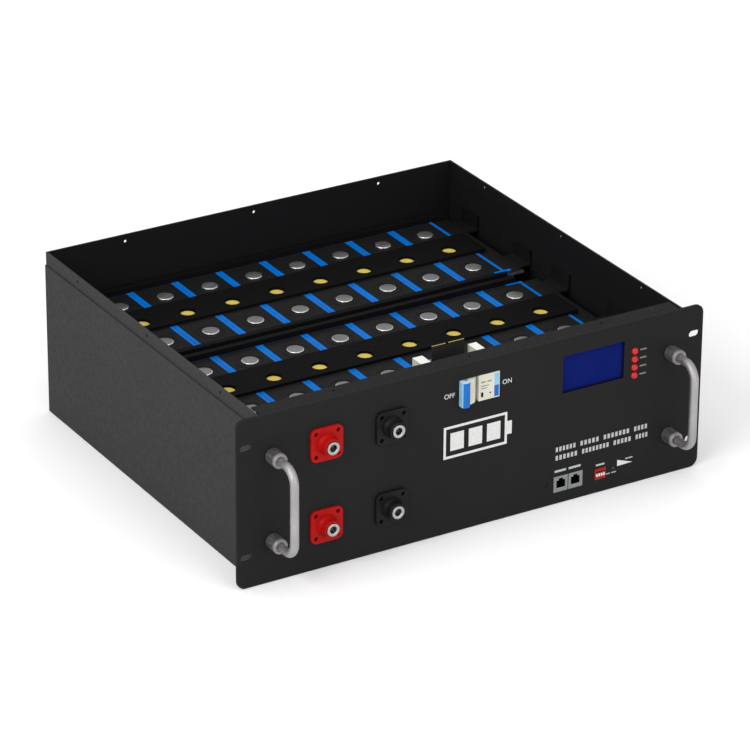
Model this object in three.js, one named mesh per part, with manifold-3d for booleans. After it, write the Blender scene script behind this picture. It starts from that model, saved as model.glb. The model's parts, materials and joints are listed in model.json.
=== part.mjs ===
// Rack-mounted lithium battery pack: an open-topped steel case with a 19-inch front panel,
// two rows of prismatic cells, a breaker, power terminals, a display and communication ports.
// Millimetres, +Z up. The front panel faces -Y and the part stands on the bottom of its case.

import * as THREE from "three";
import { mergeVertices } from "three/addons/utils/BufferGeometryUtils.js";
import Module from "manifold-3d";

const wasm = await Module();
wasm.setup();

// ---- Driving dimensions -------------------------------------------------------------

const GAP = 0.3; // clearance between pieces that touch
const OVER = 1; // how far a cutting shape runs past the face it cuts
const ROUND = 16; // sides of a round part
const SMALL_ROUND = 8; // sides of a small hole
const BARREL_SIDES = 24;

// Front panel, with its front face in the plane y = 0
const PANEL = { width: 482.6, height: 162.8, thick: 2.5, corner: 8 };
const TOP_FLANGE = { halfWidth: 219, depth: 19, thick: 1.5, screwX: [-138.5, 0, 138.5], screwY: 11.8 };
const EAR_SLOT = { x: 232.1, lowZ: 29.3, highZ: 134.9, length: 11.4, height: 6.8, corner: 3.39 };

// Case of folded sheet
const CASE = { halfWidth: 220.8, backY: 398.6, height: 162.8, wall: 1.5 };
const LIP = { height: 13, inset: 1.2 };
const LID_SCREW = {
  radius: 1.6,
  sideZ: 157.3,
  backZ: 155.8,
  sideY: [67, 201, 335],
  backX: [-137.5, 0, 137.5],
};
const FRONT_RETURN = 12;

// Handles
const HANDLE = { x: 206.5, lowZ: 40.5, highZ: 123, reach: 39, radius: 4, bend: 14 };
const FERRULE = { radius: 7, length: 16, bore: 4.3, edge: 0.8 };

// Power terminals, two of each polarity
const TERMINAL_X = { positive: -153.2, negative: -87.3 };
const TERMINAL_Z = { upper: 121.5, lower: 42.4 };
const TERMINAL = {
  flange: 32,
  corner: 6,
  flangeThick: 3,
  screwOffset: 11.05,
  screwRadius: 1.8,
  baseRadius: 10.2,
  noseRadius: 8.2,
  nose: 13.2,
  noseEdge: 0.6,
  taper: [2.5, 5], // how far in front of the flange the boss's cone bends and ends
  taperStep: 0.8,
  spigotRadius: 9.5,
  spigotBack: 11,
  socketBack: 0.7,
};
const CONTACT = {
  radius: 6.1,
  bore: 3.1,
  front: 14.4,
  boreDepth: 12,
  boreChamfer: 0.6,
  rimChamfer: 0.4,
  studRadius: 4,
  studBack: 24,
};

// Circuit breaker and the strip that stands behind it
const BREAKER = { x: 3.05, neckWidth: 41.6, lowZ: 123.2, highZ: 147.8, face: -0.6 };
const BREAKER_BODY = { width: 81, front: 16, back: 44.5 };
const BREAKER_LEG = { x: [[-29, -18.9], [28.7, 37.4]], back: 60.5 };
const CABLE_CLAMP = { inset: 9, radius: 4, depth: 14 };
const BARREL = { x: -8, y: 7, radius: 9.9 };
const LEVER = { left: -18.1, right: -9.7, front: -8, edge: 1, rootInset: 2, shoulder: 0.5, backCut: 2 };
const RAIL = { x: 4.75, width: 33.5, y: 55.7, thick: 1.2, top: 157 };
const RAIL_SLOT = { x: 3.75, width: 2.7, depth: 2.5 };
const RAIL_FOOT = { length: 30, thick: 2.4, holeInset: 9, holeRadius: 2.2 };

// Display, lamps and ports
const DISPLAY = { x: 123.6, z: 127.1, width: 65.6, height: 36.6, recess: 3, thick: 5.5, margin: 4 };
const LAMP = { count: 4, x: 167.8, topZ: 132.8, pitch: 8.05, radius: 3.35, proud: 2.6 };
const LAMP_SIDES = 12;
const SMALL_LAMP = { x: 148.2, z: 20.2, radius: 1.5, proud: 0.6 };
const RESET = { x: 75.8, z: 20.7, radius: 1.9, recess: 0.6, back: 5, brim: 1, brimFront: 3 };
const JACK = { x: 99.35, z: 19.4, width: 31, height: 15.6, proud: 0.5, depth: 16, rearInset: 1, seam: 0.4 };
const PORT = { pitch: 15.5, width: 9.4, height: 7.4, keyWidth: 4.4, keyHeight: 1.9, depth: 13, lowZ: 15.6 };
const SWITCH = { x: 133.9, z: 18.7, width: 11.6, height: 10.6, proud: 1, back: 7 };
const SLIDER = {
  count: 4,
  pitch: 2.54,
  width: 1.5,
  height: 2.5,
  travel: 2.3,
  lowZ: 16.6,
  proud: 0.5,
  back: 2.7,
  clearance: 0.2,
};
const BOARD = { left: 66, right: 182, lowZ: 7, highZ: 151, front: 9.4, thick: 1.6 };
const BOARD_BLOCKS = [
  { x: [110, 128], z: [62, 80], height: 2 }, // processor
  { x: [80, 104], z: [90, 97], height: 8 }, // wiring connector
  { x: [140, 156], z: [52, 68], height: 9 }, // power coil
];
const MONITOR = {
  left: 55,
  right: 205,
  front: 32,
  back: 70,
  top: 92,
  fin: 2,
  finPitch: 12.5,
  finHeight: 8,
};

// Cells: two rows of eight
const CELL = { count: 8, pitch: 47.3, depth: 141, top: 109.7, gap: 0.4 };
const ROW_Y = { front: 151.5, back: 312.5 };
const STUD = { radius: 8, height: 2, spread: 43.85 };
const VENT = { radius: 7.1, height: 0.9 };
const CELL_SIDES = 12;
const FLOOR = CASE.wall + GAP;

// Pieces that hold the cells
const CARRIER = { front: 15.5, back: 27, thick: 3, halfLength: 197, hole: 7.9, lift: 0.2 };
const BOARD_BETWEEN = { thick: 6, rise: 5, halfLength: 183 };
const END_PLATE = { thick: 4.5, flangeReach: 206, flangeThick: 3, inset: 1.5 };
const END_TAB = { length: 30, outer: 218.8, rise: 15, thick: 1.6, inset: 22, base: 1.8 };

// ---- Colours ------------------------------------------------------------------------

const FINISH = {
  blackSteel: { color: 0x2b2b2b, roughness: 0.6, metalness: 0.4 },
  caseSteel: { color: 0x3a3a3c, roughness: 0.6, metalness: 0.4 },
  satinMetal: { color: 0xaba7a9, roughness: 0.35, metalness: 0.9 },
  brightMetal: { color: 0xc9c6c4, roughness: 0.3, metalness: 0.95 },
  redPlastic: { color: 0xc8242a, roughness: 0.45, metalness: 0 },
  blackPlastic: { color: 0x1c1c1c, roughness: 0.5, metalness: 0 },
  ivoryPlastic: { color: 0xdcd8c8, roughness: 0.5, metalness: 0 },
  bluePlastic: { color: 0x2f7fd8, roughness: 0.4, metalness: 0 },
  screen: { color: 0x101a6e, roughness: 0.15, metalness: 0 },
  lamp: { color: 0xd8221e, roughness: 0.25, metalness: 0 },
  darkLamp: { color: 0x6a1c24, roughness: 0.3, metalness: 0 },
  greyPlastic: { color: 0x8e9896, roughness: 0.5, metalness: 0.1 },
  switchRed: { color: 0xb81c14, roughness: 0.45, metalness: 0 },
  whitePlastic: { color: 0xf0ece4, roughness: 0.5, metalness: 0 },
  circuitBoard: { color: 0x12502c, roughness: 0.5, metalness: 0 },
  aluminium: { color: 0x9a9ca0, roughness: 0.45, metalness: 0.9 },
  yellowZinc: { color: 0xc9a24a, roughness: 0.35, metalness: 0.9 },
  blueFilm: { color: 0x1a7ae0, roughness: 0.4, metalness: 0 },
  blackBoard: { color: 0x181818, roughness: 0.6, metalness: 0 },
};

// ---- Solids -------------------------------------------------------------------------

// Turns a closed three.js geometry into a manifold solid.
function solid(geometry) {
  const bare = geometry.clone();
  bare.deleteAttribute("normal");
  bare.deleteAttribute("uv");
  const merged = mergeVertices(bare, 1e-4);
  const vertProperties = new Float32Array(merged.attributes.position.array);
  const triVerts = new Uint32Array(merged.index.array);
  return new wasm.Manifold(new wasm.Mesh({ numProp: 3, vertProperties, triVerts }));
}

// Turns a manifold solid back into a three.js geometry.
function geometryOf(manifold) {
  const mesh = manifold.getMesh();
  const geometry = new THREE.BufferGeometry();
  geometry.setAttribute("position", new THREE.BufferAttribute(new Float32Array(mesh.vertProperties), 3));
  geometry.setIndex(new THREE.BufferAttribute(new Uint32Array(mesh.triVerts), 1));
  geometry.computeVertexNormals();
  return geometry;
}

const union = (first, ...rest) => rest.reduce((sum, next) => sum.add(next), first);

const cut = (first, ...rest) => rest.reduce((left, next) => left.subtract(next), first);

// A box between two values on each axis.
function box([x0, x1], [y0, y1], [z0, z1]) {
  const geometry = new THREE.BoxGeometry(x1 - x0, y1 - y0, z1 - z0);
  geometry.translate((x0 + x1) / 2, (y0 + y1) / 2, (z0 + z1) / 2);
  return solid(geometry);
}

// A round bar along Y, from y0 to y1.
function barY(x, z, radius, y0, y1, sides = ROUND) {
  const geometry = new THREE.CylinderGeometry(radius, radius, y1 - y0, sides);
  geometry.translate(x, (y0 + y1) / 2, z);
  return solid(geometry);
}

// A round bar along Z, from z0 to z1.
function barZ(x, y, radius, z0, z1, sides = ROUND) {
  const geometry = new THREE.CylinderGeometry(radius, radius, z1 - z0, sides);
  geometry.rotateX(Math.PI / 2);
  geometry.translate(x, y, (z0 + z1) / 2);
  return solid(geometry);
}

// A round bar along X, from x0 to x1.
function barX(y, z, radius, x0, x1, sides = ROUND) {
  const geometry = new THREE.CylinderGeometry(radius, radius, x1 - x0, sides);
  geometry.rotateZ(Math.PI / 2);
  geometry.translate((x0 + x1) / 2, y, z);
  return solid(geometry);
}

// A turned solid about an axis along Y; the profile's points are [radius, y].
function turnedY(x, z, profile, sides = ROUND) {
  const points = profile.map(([radius, y]) => new THREE.Vector2(radius, y));
  const geometry = new THREE.LatheGeometry(points, sides);
  geometry.translate(x, 0, z);
  return solid(geometry);
}

// An outline in x and z with rounded corners, about a centre.
function roundedOutline(x, z, width, height, radius) {
  const left = x - width / 2;
  const right = x + width / 2;
  const low = z - height / 2;
  const high = z + height / 2;
  const outline = new THREE.Shape();
  outline.moveTo(left + radius, low);
  outline.lineTo(right - radius, low);
  outline.absarc(right - radius, low + radius, radius, -Math.PI / 2, 0);
  outline.lineTo(right, high - radius);
  outline.absarc(right - radius, high - radius, radius, 0, Math.PI / 2);
  outline.lineTo(left + radius, high);
  outline.absarc(left + radius, high - radius, radius, Math.PI / 2, Math.PI);
  outline.lineTo(left, low + radius);
  outline.absarc(left + radius, low + radius, radius, Math.PI, 1.5 * Math.PI);
  return outline;
}

// A plate with an outline in x and z, from y0 back to y1.
function plateXZ(outline, y0, y1) {
  const geometry = new THREE.ExtrudeGeometry(outline, {
    depth: y1 - y0,
    bevelEnabled: false,
    curveSegments: 2,
  });
  geometry.rotateX(Math.PI / 2);
  geometry.translate(0, y1, 0);
  return solid(geometry);
}

// A plate with an outline in x and y, from z0 up to z1.
function plateXY(outline, z0, z1) {
  const geometry = new THREE.ExtrudeGeometry(outline, {
    depth: z1 - z0,
    bevelEnabled: false,
  });
  geometry.translate(0, 0, z0);
  return solid(geometry);
}

// ---- Materials and nodes ------------------------------------------------------------

const pack = new THREE.Group();

function addNode(name, manifold, finish) {
  const mesh = new THREE.Mesh(geometryOf(manifold), new THREE.MeshStandardMaterial(FINISH[finish]));
  mesh.name = name;
  pack.add(mesh);
}

// ---- Case and panel -----------------------------------------------------------------

function caseSide(side) {
  const outer = CASE.halfWidth;
  const lipOuter = outer - LIP.inset;
  const lipLow = CASE.height - LIP.height;
  const front = PANEL.thick + GAP;
  const span = [front, CASE.backY];
  const across = (a, b) => (side < 0 ? [-b, -a] : [a, b]);
  const wall = box(across(outer - CASE.wall, outer), span, [0, lipLow]);
  const lip = box(across(lipOuter - CASE.wall, lipOuter), span, [lipLow - CASE.wall, CASE.height]);
  const step = box(across(lipOuter - CASE.wall, outer), span, [lipLow - CASE.wall, lipLow]);
  const fold = box(across(outer - FRONT_RETURN, outer), [front, front + CASE.wall], [0, lipLow]);
  return union(wall, lip, step, fold);
}

function caseShell() {
  const inner = CASE.halfWidth - CASE.wall;
  const front = PANEL.thick + GAP;
  const floor = box([-inner - OVER, inner + OVER], [front, CASE.backY], [0, CASE.wall]);
  const lipOuter = CASE.halfWidth - LIP.inset;
  const backPlate = box([-lipOuter, lipOuter], [CASE.backY - CASE.wall, CASE.backY], [0, CASE.height]);
  const shell = union(caseSide(-1), caseSide(1), floor, backPlate);
  const holes = [];
  const outside = CASE.halfWidth + OVER;
  for (const y of LID_SCREW.sideY) {
    holes.push(barX(y, LID_SCREW.sideZ, LID_SCREW.radius, -outside, outside, SMALL_ROUND));
  }
  const backHole = [CASE.backY - CASE.wall - OVER, CASE.backY + OVER];
  for (const x of LID_SCREW.backX) {
    holes.push(barY(x, LID_SCREW.backZ, LID_SCREW.radius, ...backHole, SMALL_ROUND));
  }
  return cut(shell, ...holes);
}

function panelCutOuts() {
  const back = PANEL.thick + OVER;
  const cuts = [];
  for (const x of [-EAR_SLOT.x, EAR_SLOT.x]) {
    for (const z of [EAR_SLOT.lowZ, EAR_SLOT.highZ]) {
      const slot = roundedOutline(x, z, EAR_SLOT.length, EAR_SLOT.height, EAR_SLOT.corner);
      cuts.push(plateXZ(slot, -OVER, back));
    }
  }
  for (const x of Object.values(TERMINAL_X)) {
    for (const z of Object.values(TERMINAL_Z)) {
      cuts.push(barY(x, z, TERMINAL.spigotRadius + GAP, -OVER, back));
    }
  }
  for (let i = 0; i < LAMP.count; i += 1) {
    cuts.push(barY(LAMP.x, LAMP.topZ - i * LAMP.pitch, LAMP.radius + GAP, -OVER, back, LAMP_SIDES));
  }
  cuts.push(barY(SMALL_LAMP.x, SMALL_LAMP.z, SMALL_LAMP.radius + GAP, -OVER, back, LAMP_SIDES));
  cuts.push(barY(RESET.x, RESET.z, RESET.radius + GAP, -OVER, back, LAMP_SIDES));
  const windowHole = (x, z, width, height) =>
    box([x - width / 2, x + width / 2], [-OVER, back], [z - height / 2, z + height / 2]);
  cuts.push(windowHole(DISPLAY.x, DISPLAY.z, DISPLAY.width, DISPLAY.height));
  const breakerMiddle = (BREAKER.lowZ + BREAKER.highZ) / 2;
  const breakerHeight = BREAKER.highZ - BREAKER.lowZ;
  cuts.push(windowHole(BREAKER.x, breakerMiddle, BREAKER.neckWidth + 2 * GAP, breakerHeight + 2 * GAP));
  cuts.push(windowHole(JACK.x, JACK.z, JACK.width + 2 * GAP, JACK.height + 2 * GAP));
  cuts.push(windowHole(SWITCH.x, SWITCH.z, SWITCH.width + 2 * GAP, SWITCH.height + 2 * GAP));
  return cuts;
}

function frontPanel() {
  const outline = roundedOutline(0, PANEL.height / 2, PANEL.width, PANEL.height, PANEL.corner);
  const plate = plateXZ(outline, 0, PANEL.thick);
  const wide = TOP_FLANGE.halfWidth - LIP.inset - CASE.wall - GAP;
  const flange = box([-wide, wide], [0, TOP_FLANGE.depth], [PANEL.height - TOP_FLANGE.thick, PANEL.height]);
  const through = [PANEL.height - TOP_FLANGE.thick - OVER, PANEL.height + OVER];
  const screwHoles = TOP_FLANGE.screwX.map((x) =>
    barZ(x, TOP_FLANGE.screwY, LID_SCREW.radius, ...through, SMALL_ROUND),
  );
  return cut(union(plate, flange), ...panelCutOuts(), ...screwHoles);
}

// ---- Handles ------------------------------------------------------------------------

// The line of the handle's bar: out of the panel, down the grip and back to the panel.
class HandleLine extends THREE.Curve {
  constructor(x) {
    super();
    this.x = x;
    this.straight = HANDLE.reach - HANDLE.bend - GAP;
    this.arc = (Math.PI / 2) * HANDLE.bend;
    this.grip = HANDLE.highZ - HANDLE.lowZ - 2 * HANDLE.bend;
    this.total = 2 * this.straight + 2 * this.arc + this.grip;
  }

  // Half of the line, measured from the panel to the middle of the grip.
  halfPoint(run) {
    const bendStart = -GAP - this.straight;
    if (run <= this.straight) return [-GAP - run, 0];
    const turned = run - this.straight;
    if (turned <= this.arc) {
      const angle = turned / HANDLE.bend;
      return [bendStart - HANDLE.bend * Math.sin(angle), HANDLE.bend * (1 - Math.cos(angle))];
    }
    return [-HANDLE.reach, HANDLE.bend + turned - this.arc];
  }

  getPoint(t, target = new THREE.Vector3()) {
    const run = t * this.total;
    const upper = run <= this.total / 2;
    const [y, drop] = this.halfPoint(upper ? run : this.total - run);
    return target.set(this.x, y, upper ? HANDLE.highZ - drop : HANDLE.lowZ + drop);
  }
}

function handleGrip(x) {
  const section = new THREE.Shape();
  section.absarc(0, 0, HANDLE.radius, 0, 2 * Math.PI);
  const bar = new THREE.ExtrudeGeometry(section, {
    steps: 24,
    curveSegments: 6,
    extrudePath: new HandleLine(x),
  });
  return solid(bar);
}

function handleFerrule(x, z) {
  const front = -FERRULE.length;
  return turnedY(x, z, [
    [FERRULE.bore, -GAP],
    [FERRULE.bore, front],
    [FERRULE.radius - FERRULE.edge, front],
    [FERRULE.radius, front + FERRULE.edge],
    [FERRULE.radius, -GAP],
    [FERRULE.bore, -GAP],
  ]);
}

function addHandles() {
  for (const [side, x] of [["left", -HANDLE.x], ["right", HANDLE.x]]) {
    addNode(`handle_grip_${side}`, handleGrip(x), "satinMetal");
    addNode(`handle_ferrule_${side}_upper`, handleFerrule(x, HANDLE.highZ), "satinMetal");
    addNode(`handle_ferrule_${side}_lower`, handleFerrule(x, HANDLE.lowZ), "satinMetal");
  }
}

// ---- Power terminals ----------------------------------------------------------------

function terminalHousing(x, z) {
  const back = -GAP;
  const plateFront = back - TERMINAL.flangeThick;
  const outline = roundedOutline(x, z, TERMINAL.flange, TERMINAL.flange, TERMINAL.corner);
  const flange = plateXZ(outline, plateFront, back);
  const boss = turnedY(x, z, [
    [0, TERMINAL.spigotBack],
    [TERMINAL.spigotRadius, TERMINAL.spigotBack],
    [TERMINAL.spigotRadius, -1],
    [TERMINAL.baseRadius, -1],
    [TERMINAL.baseRadius, plateFront],
    [TERMINAL.noseRadius + TERMINAL.taperStep, plateFront - TERMINAL.taper[0]],
    [TERMINAL.noseRadius, plateFront - TERMINAL.taper[1]],
    [TERMINAL.noseRadius, -TERMINAL.nose + TERMINAL.noseEdge],
    [TERMINAL.noseRadius - TERMINAL.noseEdge, -TERMINAL.nose],
    [0, -TERMINAL.nose],
  ].reverse());
  const pocket = barY(x, z, CONTACT.radius + GAP, -TERMINAL.nose - OVER, TERMINAL.socketBack);
  const studHole = barY(x, z, CONTACT.studRadius + GAP, -2, TERMINAL.spigotBack + OVER);
  const screws = [];
  for (const dx of [-TERMINAL.screwOffset, TERMINAL.screwOffset]) {
    for (const dz of [-TERMINAL.screwOffset, TERMINAL.screwOffset]) {
      screws.push(barY(x + dx, z + dz, TERMINAL.screwRadius, plateFront - OVER, back + OVER, SMALL_ROUND));
    }
  }
  return cut(union(flange, boss), pocket, studHole, ...screws);
}

function terminalContact(x, z) {
  const front = -CONTACT.front;
  return turnedY(x, z, [
    [0, front + CONTACT.boreDepth],
    [CONTACT.bore, front + CONTACT.boreDepth],
    [CONTACT.bore, front + CONTACT.boreChamfer],
    [CONTACT.bore + CONTACT.boreChamfer, front],
    [CONTACT.radius - CONTACT.rimChamfer, front],
    [CONTACT.radius, front + CONTACT.rimChamfer],
    [CONTACT.radius, 0],
    [CONTACT.studRadius, 0],
    [CONTACT.studRadius, CONTACT.studBack],
    [0, CONTACT.studBack],
  ]);
}

function addTerminals() {
  for (const [polarity, x] of Object.entries(TERMINAL_X)) {
    const finish = polarity === "positive" ? "redPlastic" : "blackPlastic";
    for (const [level, z] of Object.entries(TERMINAL_Z)) {
      addNode(`terminal_housing_${polarity}_${level}`, terminalHousing(x, z), finish);
      addNode(`terminal_contact_${polarity}_${level}`, terminalContact(x, z), "brightMetal");
    }
  }
}

// ---- Breaker ------------------------------------------------------------------------

function breakerBody() {
  const z = [BREAKER.lowZ, BREAKER.highZ];
  const halfNeck = BREAKER.neckWidth / 2;
  const halfBody = BREAKER_BODY.width / 2;
  const neckY = [BREAKER.face, BREAKER_BODY.front + OVER];
  const neck = box([BREAKER.x - halfNeck, BREAKER.x + halfNeck], neckY, z);
  const body = box([BREAKER.x - halfBody, BREAKER.x + halfBody], [BREAKER_BODY.front, BREAKER_BODY.back], z);
  const pocket = barZ(BARREL.x, BARREL.y, BARREL.radius + GAP, z[0] - OVER, z[1] + OVER, BARREL_SIDES);
  const pocketRight = BARREL.x + BARREL.radius + GAP;
  const beyond = [z[0] - OVER, z[1] + OVER];
  const mouth = box([BREAKER.x - halfNeck - OVER, pocketRight], [BREAKER.face - OVER, BARREL.y], beyond);
  const legY = [BREAKER_BODY.back - OVER, BREAKER_LEG.back];
  const legs = BREAKER_LEG.x.map((x) => box(x, legY, z));
  const clamps = [];
  const clampSpan = [BREAKER_BODY.front - OVER, BREAKER_BODY.front + CABLE_CLAMP.depth];
  for (const side of [-1, 1]) {
    const x = BREAKER.x + side * (halfBody - CABLE_CLAMP.inset);
    clamps.push(barY(x, (z[0] + z[1]) / 2, CABLE_CLAMP.radius, ...clampSpan));
  }
  return cut(union(neck, body, ...legs), pocket, mouth, ...clamps);
}

function breakerToggle() {
  const low = BREAKER.lowZ + GAP;
  const high = BREAKER.highZ - GAP;
  const barrel = barZ(BARREL.x, BARREL.y, BARREL.radius, low, high, BARREL_SIDES);
  const lever = new THREE.Shape();
  lever.moveTo(BARREL.x - LEVER.rootInset, BARREL.y);
  lever.lineTo(LEVER.left + LEVER.shoulder, 0);
  lever.lineTo(LEVER.left, -LEVER.shoulder);
  lever.lineTo(LEVER.left, LEVER.front + LEVER.edge);
  lever.lineTo(LEVER.left + LEVER.edge, LEVER.front);
  lever.lineTo(LEVER.right - LEVER.edge, LEVER.front);
  lever.lineTo(LEVER.right, LEVER.front + LEVER.edge);
  lever.lineTo(LEVER.right, BARREL.y);
  lever.closePath();
  const reach = BARREL.radius + OVER;
  const cutY = [BARREL.y + LEVER.backCut, BARREL.y + reach];
  const backCut = box([BARREL.x - reach, BARREL.x + reach], cutY, [low - OVER, high + OVER]);
  return cut(union(barrel, plateXY(lever, low, high)), backCut);
}

// An upright strip, slotted at its top, on a foot that stands on the case floor.
function mountingRail() {
  const x = [RAIL.x - RAIL.width / 2, RAIL.x + RAIL.width / 2];
  const back = RAIL.y + RAIL.thick / 2;
  const front = back - RAIL.thick;
  const footFront = back - RAIL_FOOT.length;
  const footTop = FLOOR + RAIL_FOOT.thick;
  const block = box(x, [footFront, back], [FLOOR, RAIL.top]);
  const aboveFoot = box([x[0] - OVER, x[1] + OVER], [footFront - OVER, front], [footTop, RAIL.top + OVER]);
  const slotX = [RAIL_SLOT.x - RAIL_SLOT.width / 2, RAIL_SLOT.x + RAIL_SLOT.width / 2];
  const slot = box(slotX, [front - OVER, back + OVER], [RAIL.top - RAIL_SLOT.depth, RAIL.top + OVER]);
  const holeY = footFront + RAIL_FOOT.holeInset;
  const through = [FLOOR - OVER, footTop + OVER];
  const screw = barZ(RAIL.x, holeY, RAIL_FOOT.holeRadius, ...through, SMALL_ROUND);
  return cut(block, aboveFoot, slot, screw);
}

// ---- Display, lamps and ports -------------------------------------------------------

function displayModule() {
  const back = DISPLAY.recess + DISPLAY.thick;
  const width = DISPLAY.width + 2 * DISPLAY.margin;
  const height = DISPLAY.height + 2 * DISPLAY.margin;
  return plateXZ(roundedOutline(DISPLAY.x, DISPLAY.z, width, height, 1), DISPLAY.recess, back);
}

function lamp(x, z, radius, proud) {
  const steps = 3;
  const profile = [[0, BOARD.front - GAP], [radius, BOARD.front - GAP]];
  for (let i = 0; i <= steps; i += 1) {
    const angle = (i / steps) * (Math.PI / 2);
    profile.push([radius * Math.cos(angle), -proud * Math.sin(angle)]);
  }
  return turnedY(x, z, profile.reverse(), LAMP_SIDES);
}

function portHole(x) {
  const half = PORT.width / 2;
  const key = PORT.keyWidth / 2;
  const high = PORT.lowZ + PORT.height;
  const depth = [-JACK.proud - OVER, PORT.depth];
  const socket = box([x - half, x + half], depth, [PORT.lowZ, high]);
  const keyway = box([x - key, x + key], depth, [high - OVER, high + PORT.keyHeight]);
  return union(socket, keyway);
}

function networkJack() {
  const halfWidth = JACK.width / 2;
  const halfHeight = JACK.height / 2;
  const xSpan = [JACK.x - halfWidth, JACK.x + halfWidth];
  const zSpan = [JACK.z - halfHeight, JACK.z + halfHeight];
  const body = box(xSpan, [-JACK.proud, BOARD.front - GAP], zSpan);
  const inset = JACK.rearInset;
  const rear = box(
    [xSpan[0] + inset, xSpan[1] - inset],
    [BOARD.front - GAP - OVER, JACK.depth],
    [zSpan[0] + inset, zSpan[1] - inset],
  );
  const seamX = [JACK.x - JACK.seam, JACK.x + JACK.seam];
  const seam = box(seamX, [-JACK.proud - OVER, 1], [zSpan[0] - OVER, zSpan[1] + OVER]);
  return cut(union(body, rear), portHole(JACK.x - PORT.pitch / 2), portHole(JACK.x + PORT.pitch / 2), seam);
}

function sliderX(index) {
  return SWITCH.x + (index - (SLIDER.count - 1) / 2) * SLIDER.pitch;
}

function switchBody() {
  const halfWidth = SWITCH.width / 2;
  const halfHeight = SWITCH.height / 2;
  const body = box(
    [SWITCH.x - halfWidth, SWITCH.x + halfWidth],
    [-SWITCH.proud, SWITCH.back],
    [SWITCH.z - halfHeight, SWITCH.z + halfHeight],
  );
  const slots = [];
  for (let i = 0; i < SLIDER.count; i += 1) {
    const reach = SLIDER.width / 2 + SLIDER.clearance;
    const top = SLIDER.lowZ + SLIDER.height + SLIDER.travel + SLIDER.clearance;
    const xSpan = [sliderX(i) - reach, sliderX(i) + reach];
    const depth = [-SWITCH.proud - OVER, SLIDER.back + GAP];
    slots.push(box(xSpan, depth, [SLIDER.lowZ - SLIDER.clearance, top]));
  }
  return cut(body, ...slots);
}

function switchSlider(index) {
  const half = SLIDER.width / 2;
  const x = sliderX(index);
  const front = -SWITCH.proud - SLIDER.proud;
  return box([x - half, x + half], [front, SLIDER.back], [SLIDER.lowZ, SLIDER.lowZ + SLIDER.height]);
}

function resetButton() {
  return union(
    barY(RESET.x, RESET.z, RESET.radius, RESET.recess, RESET.back, LAMP_SIDES),
    barY(RESET.x, RESET.z, RESET.radius + RESET.brim, RESET.brimFront, RESET.back, LAMP_SIDES),
  );
}

// The board that carries the screen, the lamps and the ports.
function controlBoard() {
  const back = BOARD.front + BOARD.thick;
  const board = box([BOARD.left, BOARD.right], [BOARD.front, back], [BOARD.lowZ, BOARD.highZ]);
  const halfWidth = JACK.width / 2 - JACK.rearInset + GAP;
  const halfHeight = JACK.height / 2 - JACK.rearInset + GAP;
  const jackHole = box(
    [JACK.x - halfWidth, JACK.x + halfWidth],
    [BOARD.front - OVER, back + OVER],
    [JACK.z - halfHeight, JACK.z + halfHeight],
  );
  const blocks = BOARD_BLOCKS.map(({ x, z, height }) => box(x, [back - BOARD.thick / 2, back + height], z));
  return cut(union(board, ...blocks), jackHole);
}

// The finned aluminium box of the battery management unit, on the case floor.
function managementUnit() {
  const fins = [];
  const body = box([MONITOR.left, MONITOR.right], [MONITOR.front, MONITOR.back], [FLOOR, MONITOR.top]);
  const room = MONITOR.right - MONITOR.left;
  const count = Math.floor(room / MONITOR.finPitch);
  for (let i = 0; i <= count; i += 1) {
    const x = MONITOR.left + i * MONITOR.finPitch;
    const top = MONITOR.top + MONITOR.finHeight;
    fins.push(box([x, x + MONITOR.fin], [MONITOR.front, MONITOR.back], [MONITOR.top - OVER, top]));
  }
  return union(body, ...fins);
}

function addControls() {
  addNode("display_screen", displayModule(), "screen");
  for (let i = 0; i < LAMP.count; i += 1) {
    const z = LAMP.topZ - i * LAMP.pitch;
    addNode(`status_lamp_${i + 1}`, lamp(LAMP.x, z, LAMP.radius, LAMP.proud), "lamp");
  }
  addNode("run_lamp", lamp(SMALL_LAMP.x, SMALL_LAMP.z, SMALL_LAMP.radius, SMALL_LAMP.proud), "darkLamp");
  addNode("network_jack", networkJack(), "greyPlastic");
  addNode("address_switch_body", switchBody(), "switchRed");
  for (let i = 0; i < SLIDER.count; i += 1) {
    addNode(`address_slider_${i + 1}`, switchSlider(i), "whitePlastic");
  }
  addNode("reset_button", resetButton(), "blackPlastic");
  addNode("control_board", controlBoard(), "circuitBoard");
  addNode("management_unit", managementUnit(), "aluminium");
}

// ---- Cells --------------------------------------------------------------------------

function cell(x, y) {
  const halfWidth = (CELL.pitch - CELL.gap) / 2;
  const halfDepth = (CELL.depth - CELL.gap) / 2;
  const can = box([x - halfWidth, x + halfWidth], [y - halfDepth, y + halfDepth], [FLOOR, CELL.top]);
  const base = CELL.top - OVER;
  return union(
    can,
    barZ(x, y - STUD.spread, STUD.radius, base, CELL.top + STUD.height, CELL_SIDES),
    barZ(x, y + STUD.spread, STUD.radius, base, CELL.top + STUD.height, CELL_SIDES),
    barZ(x, y, VENT.radius, base, CELL.top + VENT.height, CELL_SIDES),
  );
}

function cellX(index) {
  return (index - (CELL.count - 1) / 2) * CELL.pitch;
}

// The strip along the middle of a row, with a hole over each cell's vent.
function ventCarrier(y) {
  const low = CELL.top + CARRIER.lift;
  const high = low + CARRIER.thick;
  const xSpan = [-CARRIER.halfLength, CARRIER.halfLength];
  const strip = box(xSpan, [y - CARRIER.front, y + CARRIER.back], [low, high]);
  const holes = [];
  for (let i = 0; i < CELL.count; i += 1) {
    holes.push(barZ(cellX(i), y, CARRIER.hole, low - OVER, high + OVER, CELL_SIDES));
  }
  return cut(strip, ...holes);
}

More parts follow.
